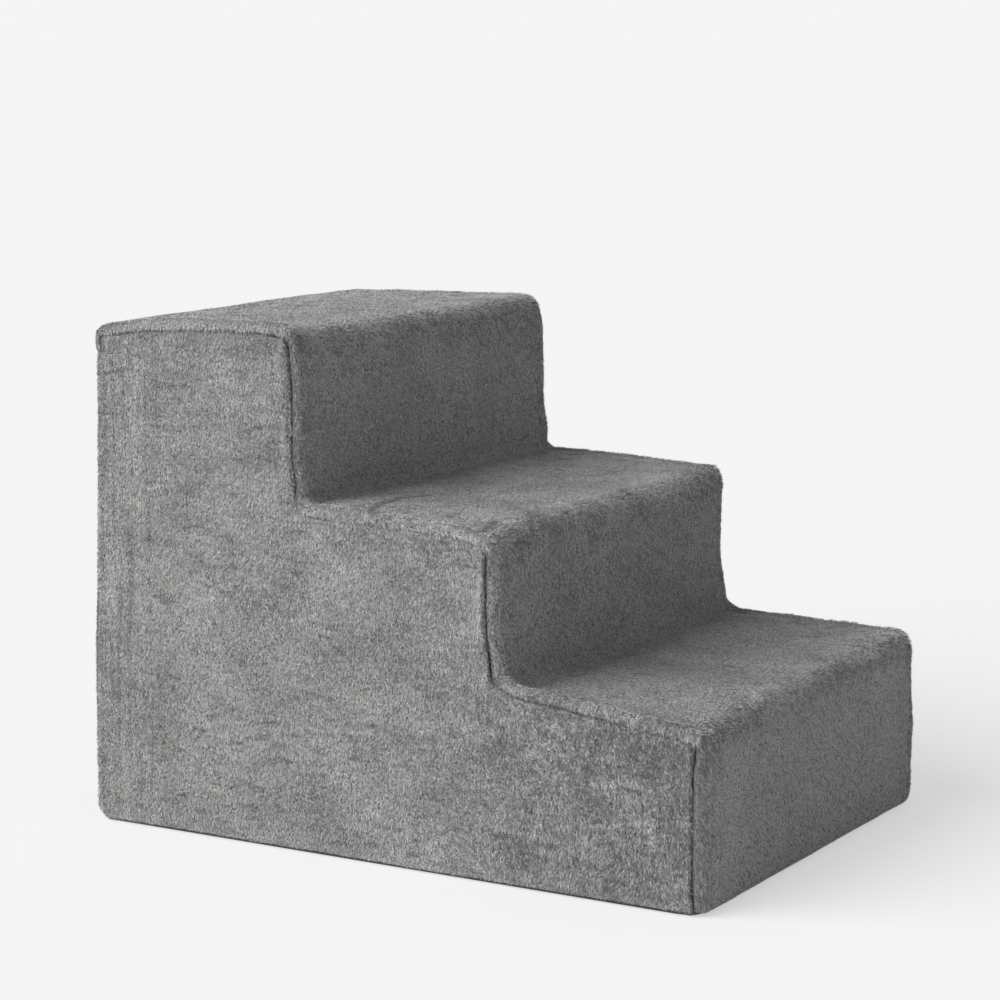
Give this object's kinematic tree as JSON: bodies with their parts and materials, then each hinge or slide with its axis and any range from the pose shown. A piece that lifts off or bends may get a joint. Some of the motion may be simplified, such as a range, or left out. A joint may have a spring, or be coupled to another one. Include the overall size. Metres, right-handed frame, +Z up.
{
  "type": "pet stairs",
  "caption": "Three-step soft foam pet stairs in a zipped plush cover, with rounded noses, sewn side seams and a non-slip base.",
  "frame": {"origin": "middle of the underside, on the floor that the stairs stand on", "axes": "+Z up, +Y the way a pet climbs, so the tall back faces +Y, X across the width; the outer shape is symmetric about X, the zip slider is not"},
  "size_m": [0.394, 0.558, 0.406],
  "materials": {
    "plush": "short-pile plush, brushed",
    "foam": "open-cell polyurethane foam, cut",
    "base_cloth": "woven non-slip base cloth",
    "grip_rubber": "moulded, matte",
    "zip_tape": "woven polyester tape",
    "zip_plastic": "moulded acetal",
    "zip_metal": "dark enamel on die-cast zinc"
  },
  "bodies": {
    "stairs": {"foam_base_slab": "foam", "foam_middle_slab": "foam", "foam_top_slab": "foam", "cover_step_runner": "plush", "cover_side_left": "plush", "cover_side_right": "plush", "cover_back_panel": "plush", "cover_back_foot": "plush", "base_panel": "base_cloth", "grip_dots": "grip_rubber", "zip_tape_upper": "zip_tape", "zip_tape_lower": "zip_tape", "zip_teeth_upper": "zip_plastic", "zip_teeth_lower": "zip_plastic", "zip_top_stops": "zip_plastic", "zip_bottom_stop": "zip_plastic"},
    "slider": {"zip_slider": "zip_metal"},
    "pull": {"zip_pull_tab": "zip_metal"}
  },
  "joints": [
    {"name": "zip_slide", "type": "slide", "parent": "stairs", "child": "slider", "axis": [-1, 0, 0], "range_m": [0, 0.294], "deforming": ["zip_teeth_upper", "zip_teeth_lower"]},
    {"name": "pull_hinge", "type": "hinge", "parent": "slider", "child": "pull", "pos_m": [0.147, 0.2774, 0.038], "axis": [0, 0, -1], "range_deg": [0, 180]}
  ]
}
